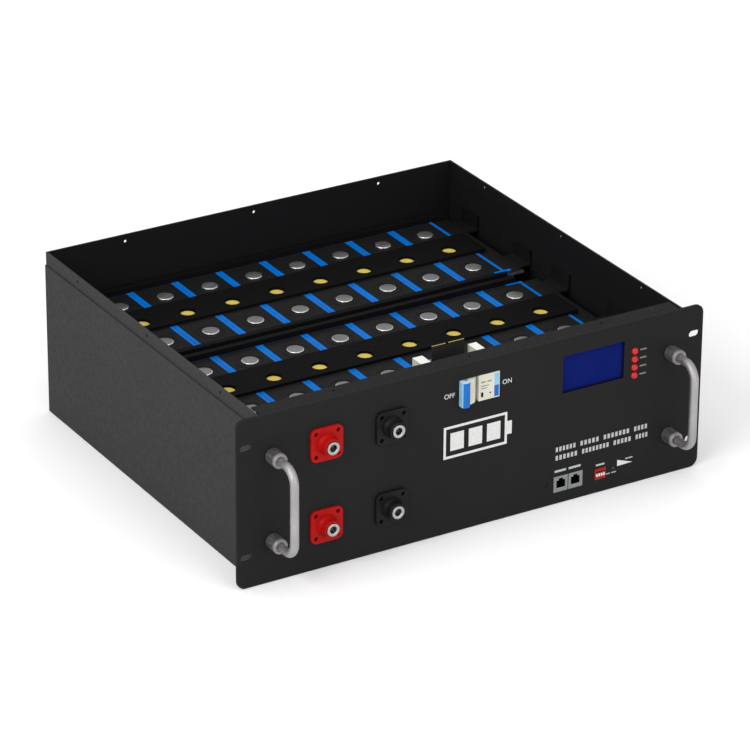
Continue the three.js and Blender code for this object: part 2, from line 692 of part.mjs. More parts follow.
// An upright board along the front or the back of a row of cells.
function insulationBoard(nearY, direction) {
  const start = nearY + direction * GAP;
  const end = start + direction * BOARD_BETWEEN.thick;
  const ySpan = [Math.min(start, end), Math.max(start, end)];
  const half = BOARD_BETWEEN.halfLength;
  return box([-half, half], ySpan, [FLOOR, CELL.top + BOARD_BETWEEN.rise]);
}

// The plate that closes one end of a row, with an outward flange and two tabs at the case wall.
function endPlate(side, y) {
  const inner = (CELL.count * CELL.pitch) / 2 + GAP;
  const outer = inner + END_PLATE.thick;
  const halfDepth = CELL.depth / 2 - END_PLATE.inset;
  const top = CELL.top - GAP;
  const across = (a, b) => (side < 0 ? [-b, -a] : [a, b]);
  const ySpan = [y - halfDepth, y + halfDepth];
  const parts = [
    box(across(inner, outer), ySpan, [FLOOR, top]),
    box(across(inner, END_PLATE.flangeReach), ySpan, [top - END_PLATE.flangeThick, top]),
  ];
  for (const end of [-1, 1]) {
    const middle = y + end * (halfDepth - END_TAB.inset);
    const span = [middle - END_TAB.length / 2, middle + END_TAB.length / 2];
    const low = top - END_TAB.base;
    parts.push(box(across(outer, END_TAB.outer), span, [low, top]));
    parts.push(box(across(END_TAB.outer - END_TAB.thick, END_TAB.outer), span, [low, top + END_TAB.rise]));
  }
  return union(...parts);
}

function addCells() {
  for (const [row, y] of Object.entries(ROW_Y)) {
    for (let i = 0; i < CELL.count; i += 1) {
      addNode(`cell_${row}_${i + 1}`, cell(cellX(i), y), "blueFilm");
    }
    addNode(`vent_carrier_${row}`, ventCarrier(y), "blackBoard");
    addNode(`insulation_board_${row}_row_front`, insulationBoard(y - CELL.depth / 2, -1), "blackBoard");
    addNode(`insulation_board_${row}_row_back`, insulationBoard(y + CELL.depth / 2, 1), "blackBoard");
    addNode(`end_plate_${row}_left`, endPlate(-1, y), "aluminium");
    addNode(`end_plate_${row}_right`, endPlate(1, y), "aluminium");
  }
}

// ---- Assembly -----------------------------------------------------------------------

addNode("case_shell", caseShell(), "caseSteel");
addNode("front_panel", frontPanel(), "blackSteel");
addHandles();
addTerminals();
addNode("breaker_body", breakerBody(), "ivoryPlastic");
addNode("breaker_toggle", breakerToggle(), "bluePlastic");
addNode("breaker_rail", mountingRail(), "yellowZinc");
addControls();
addCells();

// The origin is at the middle of the footprint, between the handles and the back of the case.
const frontmost = -HANDLE.reach - HANDLE.radius;
pack.position.y = -(frontmost + CASE.backY) / 2;

export default pack;
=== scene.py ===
import json
import math

import bmesh
import bpy
from mathutils import Matrix, Vector


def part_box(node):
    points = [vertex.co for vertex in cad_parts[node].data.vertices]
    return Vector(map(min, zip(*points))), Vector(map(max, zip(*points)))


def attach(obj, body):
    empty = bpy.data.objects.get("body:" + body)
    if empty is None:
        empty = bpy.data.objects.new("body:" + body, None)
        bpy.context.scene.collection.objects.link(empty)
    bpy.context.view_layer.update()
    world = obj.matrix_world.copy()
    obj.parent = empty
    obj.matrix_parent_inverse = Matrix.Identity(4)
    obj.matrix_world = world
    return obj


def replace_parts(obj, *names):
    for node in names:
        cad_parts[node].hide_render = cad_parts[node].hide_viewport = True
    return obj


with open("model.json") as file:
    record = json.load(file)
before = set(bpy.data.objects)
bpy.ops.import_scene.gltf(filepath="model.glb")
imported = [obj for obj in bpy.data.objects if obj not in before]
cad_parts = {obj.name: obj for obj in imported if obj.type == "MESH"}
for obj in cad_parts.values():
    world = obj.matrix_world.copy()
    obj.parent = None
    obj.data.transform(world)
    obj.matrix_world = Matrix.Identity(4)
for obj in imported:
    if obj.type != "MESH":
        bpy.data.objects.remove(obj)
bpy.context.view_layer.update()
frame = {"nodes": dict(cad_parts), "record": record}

NODES = frame["nodes"]
MM = 0.001
BODY = "pack"
FINE_EDGE = 0.2 * MM
SHEET_EDGE = 0.35 * MM
PLATE_EDGE = 0.4 * MM
UPWARD = 0.9
CORNER_ANGLE = 40
ROWS = ("front", "back")
SIDES = ("left", "right")
LEVELS = ("upper", "lower")
POLARITIES = ("positive", "negative")

# ---- Camera -------------------------------------------------------------------------

CAMERA_PLACE = (-1.83477, -3.05497, 1.78227)
CAMERA_AZIMUTH, CAMERA_ELEVATION, CAMERA_ROLL = -31.031, 25.591, 0.415
LENS_MM = 207.12


def make_camera():
    azimuth, elevation, roll = (math.radians(v) for v in (CAMERA_AZIMUTH, CAMERA_ELEVATION, CAMERA_ROLL))
    back = Vector((math.sin(azimuth) * math.cos(elevation), -math.cos(azimuth) * math.cos(elevation),
                   math.sin(elevation)))
    right = Vector((math.cos(azimuth), math.sin(azimuth), 0))
    up = back.cross(right)
    turned_right = math.cos(roll) * right + math.sin(roll) * up
    turned_up = -math.sin(roll) * right + math.cos(roll) * up
    data = bpy.data.cameras.new("camera")
    data.lens = LENS_MM
    data.sensor_width = 36
    data.clip_start, data.clip_end = 0.05, 50
    camera = bpy.data.objects.new("camera", data)
    bpy.context.scene.collection.objects.link(camera)
    turn = Matrix((turned_right, turned_up, back)).transposed().to_4x4()
    camera.matrix_world = Matrix.Translation(CAMERA_PLACE) @ turn
    bpy.context.scene.camera = camera


# ---- Materials ----------------------------------------------------------------------

class Finish:
    """A material built from nodes: one principled shader, with colour, roughness and bump around it."""

    def __init__(self, name, rough=0.5, metal=0.0, coat=0.0, coat_rough=0.1, specular=0.5):
        self.material = bpy.data.materials.new(name)
        self.material.use_nodes = True
        self.tree = self.material.node_tree
        self.shader = self.tree.nodes["Principled BSDF"]
        self.shader.inputs["Roughness"].default_value = rough
        self.shader.inputs["Metallic"].default_value = metal
        self.shader.inputs["Coat Weight"].default_value = coat
        self.shader.inputs["Coat Roughness"].default_value = coat_rough
        self.shader.inputs["Specular IOR Level"].default_value = specular
        self.place = self.node("ShaderNodeTexCoord").outputs["Object"]

    def node(self, kind, **settings):
        made = self.tree.nodes.new(kind)
        for key, value in settings.items():
            setattr(made, key, value)
        return made

    def link(self, source, target):
        self.tree.links.new(source, target)

    def noise(self, scale, detail=4.0, stretch=(1, 1, 1)):
        mapping = self.node("ShaderNodeMapping")
        mapping.inputs["Scale"].default_value = stretch
        self.link(self.place, mapping.inputs["Vector"])
        made = self.node("ShaderNodeTexNoise")
        made.inputs["Scale"].default_value = scale
        made.inputs["Detail"].default_value = detail
        self.link(mapping.outputs["Vector"], made.inputs["Vector"])
        return made.outputs["Fac"]

    def ramp(self, source, stops):
        made = self.node("ShaderNodeValToRGB")
        elements = made.color_ramp.elements
        while len(elements) < len(stops):
            elements.new(0.5)
        for element, (position, colour) in zip(elements, stops):
            element.position = position
            element.color = (*colour, 1)
        self.link(source, made.inputs["Fac"])
        return made.outputs["Color"]

    def span(self, source, low, high, start=0.3, end=0.7):
        made = self.node("ShaderNodeMapRange")
        made.inputs["From Min"].default_value = start
        made.inputs["From Max"].default_value = end
        made.inputs["To Min"].default_value = low
        made.inputs["To Max"].default_value = high
        self.link(source, made.inputs["Value"])
        return made.outputs["Result"]

    def mix(self, factor, first, second):
        made = self.node("ShaderNodeMix", data_type="RGBA")
        self.link(factor, made.inputs["Factor"])
        self.link(first, made.inputs["A"])
        if isinstance(second, tuple):
            made.inputs["B"].default_value = (*second, 1)
        else:
            self.link(second, made.inputs["B"])
        return made.outputs["Result"]

    def edges(self, radius):
        """1 on edges and corners, 0 on flat faces."""
        bevel = self.node("ShaderNodeBevel", samples=4)
        bevel.inputs["Radius"].default_value = radius
        geometry = self.node("ShaderNodeNewGeometry")
        dot = self.node("ShaderNodeVectorMath", operation="DOT_PRODUCT")
        self.link(bevel.outputs["Normal"], dot.inputs[0])
        self.link(geometry.outputs["Normal"], dot.inputs[1])
        return self.span(dot.outputs["Value"], 1.0, 0.0, 0.80, 0.995)

    def colour(self, source):
        self.link(source, self.shader.inputs["Base Color"])

    def rough(self, source):
        self.link(source, self.shader.inputs["Roughness"])

    def bump(self, source, strength, distance):
        made = self.node("ShaderNodeBump")
        made.inputs["Strength"].default_value = strength
        made.inputs["Distance"].default_value = distance
        self.link(source, made.inputs["Height"])
        self.link(made.outputs["Normal"], self.shader.inputs["Normal"])


def tone(colour, factor):
    return tuple(min(1.0, c * factor) for c in colour)


def powder_coat(name, colour, rough=0.6, wear=(0.16, 0.16, 0.165), specular=0.16):
    f = Finish(name, rough, specular=specular)
    cloud = f.noise(9, 5)
    base = f.ramp(cloud, [(0.25, tone(colour, 0.95)), (0.75, tone(colour, 1.05))])
    f.colour(f.mix(f.span(f.edges(0.0006), 0.0, 0.45, 0.0, 1.0), base, wear))
    f.rough(f.span(f.noise(260, 2), rough - 0.07, rough + 0.09))
    f.bump(f.noise(900, 3), 0.22, 0.00025)
    return f.material


def moulded(name, colour, rough=0.45, grain=1300, strength=0.12, coat=0.0, specular=0.22):
    f = Finish(name, rough, coat=coat, specular=specular)
    base = f.ramp(f.noise(60, 4), [(0.2, tone(colour, 0.9)), (0.8, tone(colour, 1.08))])
    f.colour(f.mix(f.span(f.edges(0.0004), 0.0, 0.25, 0.0, 1.0), base, tone(colour, 1.5)))
    f.rough(f.span(f.noise(420, 3), rough - 0.06, rough + 0.08))
    f.bump(f.noise(grain, 2), strength, 0.00012)
    return f.material


def metal(name, colour, rough=0.3, brushed=(1, 1, 1), scale=900, strength=0.14):
    f = Finish(name, rough, metal=1.0)
    base = f.ramp(f.noise(45, 5), [(0.2, tone(colour, 0.84)), (0.8, tone(colour, 1.1))])
    f.colour(base)
    f.rough(f.span(f.noise(scale * 0.6, 3, brushed), rough - 0.09, rough + 0.13))
    f.bump(f.noise(scale, 2, brushed), strength, 0.00012)
    return f.material


def film(name, colour):
    f = Finish(name, 0.38, coat_rough=0.25, specular=0.035)
    base = f.ramp(f.noise(30, 5), [(0.2, tone(colour, 0.86)), (0.8, tone(colour, 1.1))])
    f.colour(base)
    f.rough(f.span(f.noise(150, 4), 0.26, 0.44))
    f.bump(f.noise(120, 4, (1, 0.35, 1)), 0.25, 0.0004)
    return f.material


def printed(name, colour):
    f = Finish(name, 0.5)
    f.colour(f.ramp(f.noise(500, 3), [(0.25, tone(colour, 0.82)), (0.6, colour)]))
    f.bump(f.noise(1600, 2), 0.1, 0.00005)
    return f.material


def circuit(name, colour):
    f = Finish(name, 0.35, coat=0.3)
    tracks = f.node("ShaderNodeTexBrick")
    tracks.inputs["Scale"].default_value = 160
    tracks.inputs["Color1"].default_value = (*colour, 1)
    tracks.inputs["Color2"].default_value = (*tone(colour, 1.25), 1)
    tracks.inputs["Mortar"].default_value = (*tone(colour, 1.9), 1)
    f.link(f.place, tracks.inputs["Vector"])
    f.colour(tracks.outputs["Color"])
    f.bump(tracks.outputs["Fac"], 0.2, 0.0001)
    return f.material


MATERIALS = {
    "case_paint": powder_coat("case_paint", (0.0285, 0.0285, 0.0287), wear=(0.09, 0.09, 0.092),
                              specular=0.08),
    "panel_paint": powder_coat("panel_paint", (0.0148, 0.0148, 0.0149), wear=(0.05, 0.05, 0.051),
                               specular=0.04),
    "handle_metal": metal("handle_metal", (0.40, 0.385, 0.388), 0.52, (1, 1, 0.08), 1400),
    "ferrule_metal": metal("ferrule_metal", (0.27, 0.262, 0.262), 0.5, (1, 0.1, 1), 1500),
    "terminal_red": moulded("terminal_red", (0.34, 0.0035, 0.0030), 0.42, specular=0.1),
    "terminal_black": moulded("terminal_black", (0.0052, 0.0052, 0.0052), 0.45, specular=0.14),
    "contact_metal": metal("contact_metal", (0.42, 0.415, 0.41), 0.36, (1, 0.1, 1), 1800),
    "breaker_ivory": moulded("breaker_ivory", (0.56, 0.555, 0.47), 0.5),
    "breaker_blue": moulded("breaker_blue", (0.012, 0.130, 0.44), 0.4, specular=0.1),
    "yellow_zinc": metal("yellow_zinc", (0.62, 0.42, 0.12), 0.4),
    "screen": moulded("screen", (0.0035, 0.0095, 0.105), 0.3, 2200, 0.004, specular=0.015),
    "lamp_red": moulded("lamp_red", (0.46, 0.010, 0.009), 0.24, 900, 0.05, coat=0.25),
    "lamp_dark": moulded("lamp_dark", (0.085, 0.008, 0.011), 0.3, 900, 0.05, coat=0.2),
    "jack_grey": moulded("jack_grey", (0.19, 0.205, 0.20), 0.48),
    "switch_red": moulded("switch_red", (0.27, 0.008, 0.006), 0.4),
    "slider_white": moulded("slider_white", (0.72, 0.70, 0.66), 0.45),
    "button_black": moulded("button_black", (0.004, 0.004, 0.004), 0.5),
    "circuit_board": circuit("circuit_board", (0.009, 0.082, 0.028)),
    "bare_aluminium": metal("bare_aluminium", (0.42, 0.43, 0.44), 0.45),
    "cell_film": film("cell_film", (0.0016, 0.138, 0.53)),
    "carrier_black": moulded("carrier_black", (0.0046, 0.0046, 0.0047), 0.6, specular=0.02),
    "insulation_black": moulded("insulation_black", (0.005, 0.005, 0.0052), 0.6, specular=0.03),
    "plate_aluminium": metal("plate_aluminium", (0.036, 0.036, 0.037), 0.5),
}
# painted shade: a darker copy of the case paint for the case's inside faces, standing in for the shade inside
# the box
CASE_INSIDE_SHADE = powder_coat("case_inside_painted_shade", (0.0068, 0.0068, 0.0074), specular=0.1, wear=(0.03, 0.03, 0.03))
CELL_TOP_BLACK = moulded("cell_top_black", (0.0085, 0.0085, 0.0086), 0.55, specular=0.06)
STUD_METAL = metal("stud_metal", (0.25, 0.25, 0.25), 0.5, (0.1, 1, 1), 1500)
# painted highlight: a lighter, glossier copy of the stud metal for the studs' sides
STUD_RIM_HIGHLIGHT = metal("stud_rim_painted_highlight", (0.75, 0.75, 0.75), 0.3, (1, 1, 1), 1500)
VENT_YELLOW = moulded("vent_yellow", (0.58, 0.45, 0.085), 0.4, 900, 0.1, specular=0.2)
BARE_EDGE = metal("bare_edge", (0.62, 0.62, 0.64), 0.45)
# painted shade: a near-black coat for the rail's sides and front, standing in for the shade they stand in; the
# rail's top keeps its yellow zinc
RAIL_SIDE_SHADE = powder_coat("rail_side_painted_shade", (0.017, 0.0165, 0.016), specular=0.1, wear=(0.03, 0.03, 0.03))
# painted highlight: a paler ivory for the breaker body's top faces, standing in for the light that falls on
# them
IVORY_TOP_HIGHLIGHT = moulded("ivory_painted_top_highlight", (0.74, 0.75, 0.69), 0.5)
# painted highlight: a pale blue for the lever's top faces
LEVER_TOP_HIGHLIGHT = moulded("lever_top_painted_highlight", (0.50, 0.66, 0.80), 0.45)
PRINT_WHITE = printed("print_white", (0.62, 0.62, 0.61))
PRINT_SOFT = printed("print_soft", (0.42, 0.42, 0.415))
PRINT_FAINT = printed("print_faint", (0.17, 0.17, 0.17))
PRINT_GREY = printed("print_grey", (0.17, 0.17, 0.15))
# painted shade: near black for recesses, in the jack's opening, on the display window's sill and in the
# breaker's slots
RECESS_SHADE = moulded("recess_painted_shade", (0.004, 0.004, 0.004), 0.6, specular=0.1)
# pale blue: the upper half of the breaker's stripe, and on the lever's left side a painted highlight where the
# light falls from the left
PALE_BLUE_PRINT_AND_LIT_SIDE = moulded("pale_blue_print_and_lit_side", (0.23, 0.45, 0.60), 0.45)

# ---- Shapes -------------------------------------------------------------------------


def add_piece(name, mesh_maker, material, body=BODY, bevel=0.0, segments=3, smooth=True):
    """A piece from a bmesh that mesh_maker fills, in metres and in the part's own frame."""
    bm = bmesh.new()
    mesh_maker(bm)
    bmesh.ops.recalc_face_normals(bm, faces=bm.faces)
    mesh = bpy.data.meshes.new(name)
    bm.to_mesh(mesh)
    bm.free()
    piece = bpy.data.objects.new(name, mesh)
    bpy.context.scene.collection.objects.link(piece)
    mesh.materials.append(material)
    if bevel:
        soften(piece, bevel, segments)
    if smooth:
        for polygon in mesh.polygons:
            polygon.use_smooth = True
    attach(piece, body)
    return piece


def carve(piece, cutter_maker):
    """Cuts the solid that cutter_maker fills out of the piece, before any other modifier."""
    bm = bmesh.new()
    cutter_maker(bm)
    bmesh.ops.recalc_face_normals(bm, faces=bm.faces)
    mesh = bpy.data.meshes.new("cutter")
    bm.to_mesh(mesh)
    bm.free()
    cutter = bpy.data.objects.new("cutter", mesh)
    bpy.context.scene.collection.objects.link(cutter)
    modifier = piece.modifiers.new("cut", "BOOLEAN")
    modifier.object = cutter
    modifier.solver = "EXACT"
    bpy.context.view_layer.update()
    cut_mesh = bpy.data.meshes.new_from_object(piece.evaluated_get(bpy.context.evaluated_depsgraph_get()))
    piece.modifiers.clear()
    piece.data = cut_mesh
    bpy.data.objects.remove(cutter)


def soften(piece, width, segments=3, angle=32):
    """Rounds every edge that turns by more than the angle, in degrees."""
    modifier = piece.modifiers.new("soft_edges", "BEVEL")
    modifier.width = width
    modifier.segments = segments
    modifier.limit_method = "ANGLE"
    modifier.angle_limit = math.radians(angle)
    modifier.harden_normals = True


def box_in(bm, low, high):
    """A box between two corners."""
    made = bmesh.ops.create_cube(bm, size=1)["verts"]
    for vertex in made:
        vertex.co = Vector(low[i] + (vertex.co[i] + 0.5) * (high[i] - low[i]) for i in range(3))


def solid_between(bm, first_outline, second_outline):
    """A solid between two outlines with the same number of points."""
    first = [bm.verts.new(point) for point in first_outline]
    second = [bm.verts.new(point) for point in second_outline]
    bm.faces.new(first)
    bm.faces.new(second)
    for i in range(len(first)):
        j = (i + 1) % len(first)
        bm.faces.new((first[i], first[j], second[j], second[i]))


def upright_solid(bm, outline, bottom, top):
    """A solid that stands on its (x, y) outline."""
    solid_between(bm, [(x, y, bottom) for x, y in outline], [(x, y, top) for x, y in outline])


def facing_solid(bm, outline, front, back):
    """A solid that faces forward with its (x, z) outline."""
    solid_between(bm, [(x, front, z) for x, z in outline], [(x, back, z) for x, z in outline])


def ring_in(bm, centre, axis, profile, sides=64):
    """A turned solid; profile is [(radius, distance along axis)], closed on itself or ending on the axis."""
    axis = Vector(axis).normalized()
    side = axis.orthogonal().normalized()
    other = axis.cross(side)
    rings = []
    for radius, along in profile:
        middle = Vector(centre) + axis * along
        if radius < 1e-7:
            rings.append([bm.verts.new(middle)])
            continue
        ring = []
        for i in range(sides):
            angle = 2 * math.pi * i / sides
            ring.append(bm.verts.new(middle + radius * (math.cos(angle) * side + math.sin(angle) * other)))
        rings.append(ring)
    for first, second in zip(rings, rings[1:]):
        for i in range(sides):
            j = (i + 1) % sides
            corners = [first[i % len(first)], first[j % len(first)],
                       second[j % len(second)], second[i % len(second)]]
            unique = []
            for corner in corners:
                if corner not in unique:
                    unique.append(corner)
            if len(unique) > 2:
                bm.faces.new(unique)


# ---- Case, panel and the other nodes that keep their CAD shape ----------------------


def paint(node, material):
    """A CAD node keeps its shape and gets a finished material."""
    mesh = NODES[node].data
    mesh.materials.clear()
    mesh.materials.append(material)


def paint_faces(node, material, wanted):
    """Gives a second finish to the faces of a CAD node for which wanted(centre, normal) is true."""
    mesh = NODES[node].data
    mesh.materials.append(material)
    index = len(mesh.materials) - 1
    for polygon in mesh.polygons:
        if wanted(polygon.center, polygon.normal):
            polygon.material_index = index


def split_finishes():
    """Second finishes: painted shade on the case's inside faces and on the rail's sides, bare plate edges, a
    painted highlight on the breaker body's top faces, and painted shade in the jack's opening and on the window
    sill.
    """
    case_low, case_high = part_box("case_shell")
    sheet = 1.35 * MM

    # the faces that get the painted shade: all but the outer walls, the bottom and the lip's top
    def inside(centre, normal):
        left = centre.x - case_low.x < sheet
        right = case_high.x - centre.x < sheet
        back = case_high.y - centre.y < sheet
        under = centre.z < sheet
        lip = normal.z > UPWARD and centre.z > case_high.z - sheet
        return not (left or right or back or under or lip)

    # painted shade on the case's inside faces
    paint_faces("case_shell", CASE_INSIDE_SHADE, inside)
    rail_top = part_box("breaker_rail")[1].z
    screen_low, screen_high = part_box("display_screen")
    jack_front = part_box("network_jack")[0].y

    def shaded_rail_faces(centre, normal):
        return not (normal.z > UPWARD and centre.z > rail_top - MM)

    def sill(centre, normal):
        across = screen_low.x < centre.x < screen_high.x
        return across and screen_low.z < centre.z < screen_high.z and abs(normal.y) < 0.5

    # painted shade on every rail face but the top
    paint_faces("breaker_rail", RAIL_SIDE_SHADE, shaded_rail_faces)
    # painted shade on the sill inside the display window
    paint_faces("front_panel", RECESS_SHADE, sill)
    # painted highlight on the breaker body's top faces
    paint_faces("breaker_body", IVORY_TOP_HIGHLIGHT, lambda centre, normal: normal.z > UPWARD)
    # painted shade on the jack's faces behind its front face
    paint_faces("network_jack", RECESS_SHADE, lambda centre, normal: centre.y > jack_front + 0.3 * MM)
    for row in ROWS:
        for side in SIDES:
            node = f"end_plate_{row}_{side}"
            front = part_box(node)[0].y
            paint_faces(node, BARE_EDGE, lambda centre, normal, front=front: (
                normal.y < -UPWARD and centre.y < front + MM))


def finish_carried_nodes():
    slots = {row["node"]: row["material_slot"] for row in frame["record"]["subparts"]}
    for node, slot in slots.items():
        paint(node, MATERIALS[slot])
    split_finishes()
    for node in ("case_shell", "front_panel", "breaker_body", "breaker_rail", "network_jack",
                 "address_switch_body", "management_unit", "control_board", "vent_carrier_front",
                 "vent_carrier_back"):
        soften(NODES[node], SHEET_EDGE, 2, CORNER_ANGLE)
    for row in ROWS:
        for side in SIDES:
            soften(NODES[f"end_plate_{row}_{side}"], PLATE_EDGE, 2, CORNER_ANGLE)
        for face in ROWS:
            soften(NODES[f"insulation_board_{row}_row_{face}"], PLATE_EDGE, 2, CORNER_ANGLE)
    for i in range(1, 5):
        soften(NODES[f"address_slider_{i}"], FINE_EDGE, 2, CORNER_ANGLE)


# ---- Handles ------------------------------------------------------------------------

GRIP_RADIUS = 4 * MM
GRIP_BEND = 14 * MM
GRIP_STEPS = 16
GRIP_SIDES = 32
FERRULE_BORE = 4.25 * MM


def handle_grip(side):
    node = f"handle_grip_{side}"
    low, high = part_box(node)
    x = (low.x + high.x) / 2
    front = low.y + GRIP_RADIUS
    top, bottom = high.z - GRIP_RADIUS, low.z + GRIP_RADIUS
    turns = [math.pi / 2 * i / GRIP_STEPS for i in range(GRIP_STEPS + 1)]
    path = [(high.y, top)]
    for angle in turns:
        path.append((front + GRIP_BEND * (1 - math.sin(angle)), top - GRIP_BEND * (1 - math.cos(angle))))
    for angle in turns:
        path.append((front + GRIP_BEND * (1 - math.cos(angle)), bottom + GRIP_BEND * (1 - math.sin(angle))))
    path.append((high.y, bottom))

    def make(bm):
        radius = GRIP_RADIUS * 0.995
        out = Vector((1, 0, 0))
        angles = [2 * math.pi * i / GRIP_SIDES for i in range(GRIP_SIDES)]
        rings = []
        for k, (y, z) in enumerate(path):
            before, after = path[max(k - 1, 0)], path[min(k + 1, len(path) - 1)]
            along = Vector((0, after[0] - before[0], after[1] - before[1])).normalized()
            other = along.cross(out)
            centre = Vector((x, y, z))
            rings.append([bm.verts.new(centre + radius * (math.cos(a) * out + math.sin(a) * other))
                          for a in angles])
        for first, second in zip(rings, rings[1:]):
            for i in range(GRIP_SIDES):
                j = (i + 1) % GRIP_SIDES
                bm.faces.new((first[i], first[j], second[j], second[i]))
        bm.faces.new(rings[0])
        bm.faces.new(rings[-1])

    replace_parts(add_piece(f"grip_bar_{side}", make, MATERIALS["handle_metal"]), node)


def handle_ferrule(side, level):
    node = f"handle_ferrule_{side}_{level}"
    low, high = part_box(node)
    middle = (low + high) / 2
    radius = (high.x - low.x) / 2
    length = high.y - low.y
    chamfer, groove = 0.9 * MM, 0.35 * MM
    profile = [(FERRULE_BORE, 0), (FERRULE_BORE, length)]
    profile += [(radius - chamfer, length), (radius, length - 0.4 * MM)]
    profile += [(radius, 2.6 * MM), (radius - groove, 2.3 * MM), (radius - groove, 1.7 * MM)]
    profile += [(radius, 1.4 * MM), (radius, chamfer), (radius - chamfer, 0), (FERRULE_BORE, 0)]

    def make(bm):
        ring_in(bm, (middle.x, low.y, middle.z), (0, 1, 0), profile, 48)
        bmesh.ops.remove_doubles(bm, verts=bm.verts, dist=1e-7)

    piece = add_piece(f"ferrule_{side}_{level}", make, MATERIALS["ferrule_metal"],
                      bevel=0.15 * MM, segments=2)
    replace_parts(piece, node)


# ---- Terminals ----------------------------------------------------------------------

CONTACT_RADIUS, CONTACT_BORE, CONTACT_DEPTH = 6.1 * MM, 3.1 * MM, 12 * MM
STUD_SHOULDER, REAR_STUD = 14.4 * MM, 4 * MM
THREAD_TURNS, THREAD_PITCH, THREAD_DEPTH = 9, 1.1 * MM, 0.28 * MM
FLANGE_CORNER, FLANGE_THICK = 6 * MM, 3 * MM
FLANGE_OPENING, CUT_DEPTH = 9.45 * MM, 6 * MM
FLANGE_SCREW, SCREW_HOLE = 11.05 * MM, 1.9 * MM
SPIGOT_LENGTH, SPIGOT_GAP = 11 * MM, 0.3 * MM
SPIGOT_BORE, SPIGOT_RADIUS = 4.4 * MM, 9.5 * MM


def rod(radius, length):
    """The profile of a plain rod, for ring_in."""
    return [(0, 0), (radius, 0), (radius, length), (0, length)]


def rounded_plate(bm, x, z, size, corner, front, back, steps=8):
    """A square plate with round corners, facing forward."""
    outline = []
    half = size / 2 - corner
    for quarter, (sx, sz) in enumerate(((1, 1), (-1, 1), (-1, -1), (1, -1))):
        for i in range(steps + 1):
            angle = math.pi / 2 * (quarter + i / steps)
            outline.append((x + sx * half + corner * math.cos(angle),
                            z + sz * half + corner * math.sin(angle)))
    facing_solid(bm, outline, front, back)


def terminal(polarity, level):
    housing, contact = f"terminal_housing_{polarity}_{level}", f"terminal_contact_{polarity}_{level}"
    low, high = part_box(housing)
    x, z = (low.x + high.x) / 2, (low.z + high.z) / 2
    slot = "terminal_red" if polarity == "positive" else "terminal_black"
    material = MATERIALS[slot]
    nose = low.y
    back = high.y - SPIGOT_LENGTH - SPIGOT_GAP
    front = back - FLANGE_THICK

    def flange(bm):
        rounded_plate(bm, x, z, high.x - low.x, FLANGE_CORNER, front, back)

    def openings(bm):
        ring_in(bm, (x, front - MM, z), (0, 1, 0), rod(FLANGE_OPENING, CUT_DEPTH), 64)
        for dx in (-FLANGE_SCREW, FLANGE_SCREW):
            for dz in (-FLANGE_SCREW, FLANGE_SCREW):
                ring_in(bm, (x + dx, front - MM, z + dz), (0, 1, 0), rod(SCREW_HOLE, CUT_DEPTH), 32)

    plate = add_piece(f"terminal_plate_{polarity}_{level}", flange, material, smooth=False)
    carve(plate, openings)
    soften(plate, 0.5 * MM, 3)
    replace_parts(plate, housing)

    def boss(bm):
        bore = 6.4 * MM
        foot = front - nose
        profile = [(bore, foot), (10.2 * MM, foot), (10.1 * MM, foot - 0.6 * MM),
                   (9.3 * MM, foot - 2.2 * MM), (8.6 * MM, foot - 3.6 * MM), (8.2 * MM, foot - 5 * MM),
                   (8.2 * MM, 0.9 * MM), (7.95 * MM, 0.25 * MM), (7.5 * MM, 0), (6.7 * MM, 0),
                   (bore, 0.25 * MM), (bore, foot)]
        ring_in(bm, (x, nose, z), (0, 1, 0), profile, 64)
        bmesh.ops.remove_doubles(bm, verts=bm.verts, dist=1e-7)

    add_piece(f"terminal_boss_{polarity}_{level}", boss, material, bevel=FINE_EDGE, segments=2)

    def spigot(bm):
        end = SPIGOT_LENGTH + 0.2 * MM
        profile = [(SPIGOT_BORE, 0), (SPIGOT_RADIUS, 0), (SPIGOT_RADIUS, end - 0.3 * MM),
                   (SPIGOT_RADIUS - 0.4 * MM, end), (SPIGOT_BORE, end), (SPIGOT_BORE, 0)]
        ring_in(bm, (x, back, z), (0, 1, 0), profile, 48)
        bmesh.ops.remove_doubles(bm, verts=bm.verts, dist=1e-7)

    add_piece(f"terminal_spigot_{polarity}_{level}", spigot, material)

    contact_low, contact_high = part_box(contact)
    length = contact_high.y - contact_low.y

    def insert(bm):
        outer, bore = CONTACT_RADIUS, CONTACT_BORE
        threads = []
        for i in range(THREAD_TURNS):
            y = 0.9 * MM + i * THREAD_PITCH
            threads += [(bore, y), (bore + THREAD_DEPTH, y + THREAD_PITCH / 2)]
        profile = [(0, CONTACT_DEPTH), (bore, CONTACT_DEPTH)] + threads[::-1]
        profile += [(bore + 0.6 * MM, 0), (outer - 0.45 * MM, 0), (outer - 0.1 * MM, 0.15 * MM),
                    (outer, 0.5 * MM), (outer, STUD_SHOULDER), (REAR_STUD, STUD_SHOULDER),
                    (REAR_STUD, length - 0.5 * MM), (REAR_STUD - 0.5 * MM, length), (0, length)]
        ring_in(bm, (x, contact_low.y, z), (0, 1, 0), profile, 48)

    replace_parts(add_piece(f"terminal_insert_{polarity}_{level}", insert, MATERIALS["contact_metal"]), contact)


# ---- Cells --------------------------------------------------------------------------

PLATE_HALF, PLATE_INSET = 19.5 * MM, 1.2 * MM
STUD_OUT, STUD_RADIUS, STUD_HEIGHT = 43.85 * MM, 8 * MM, 2 * MM
VENT_RADIUS, VENT_HEIGHT = 7.1 * MM, 0.9 * MM
RIM_INNER, RIM_OUTER, RIM_HEIGHT = 12.2 * MM, 13.4 * MM, 0.45 * MM
SIDE_TURN = 0.985


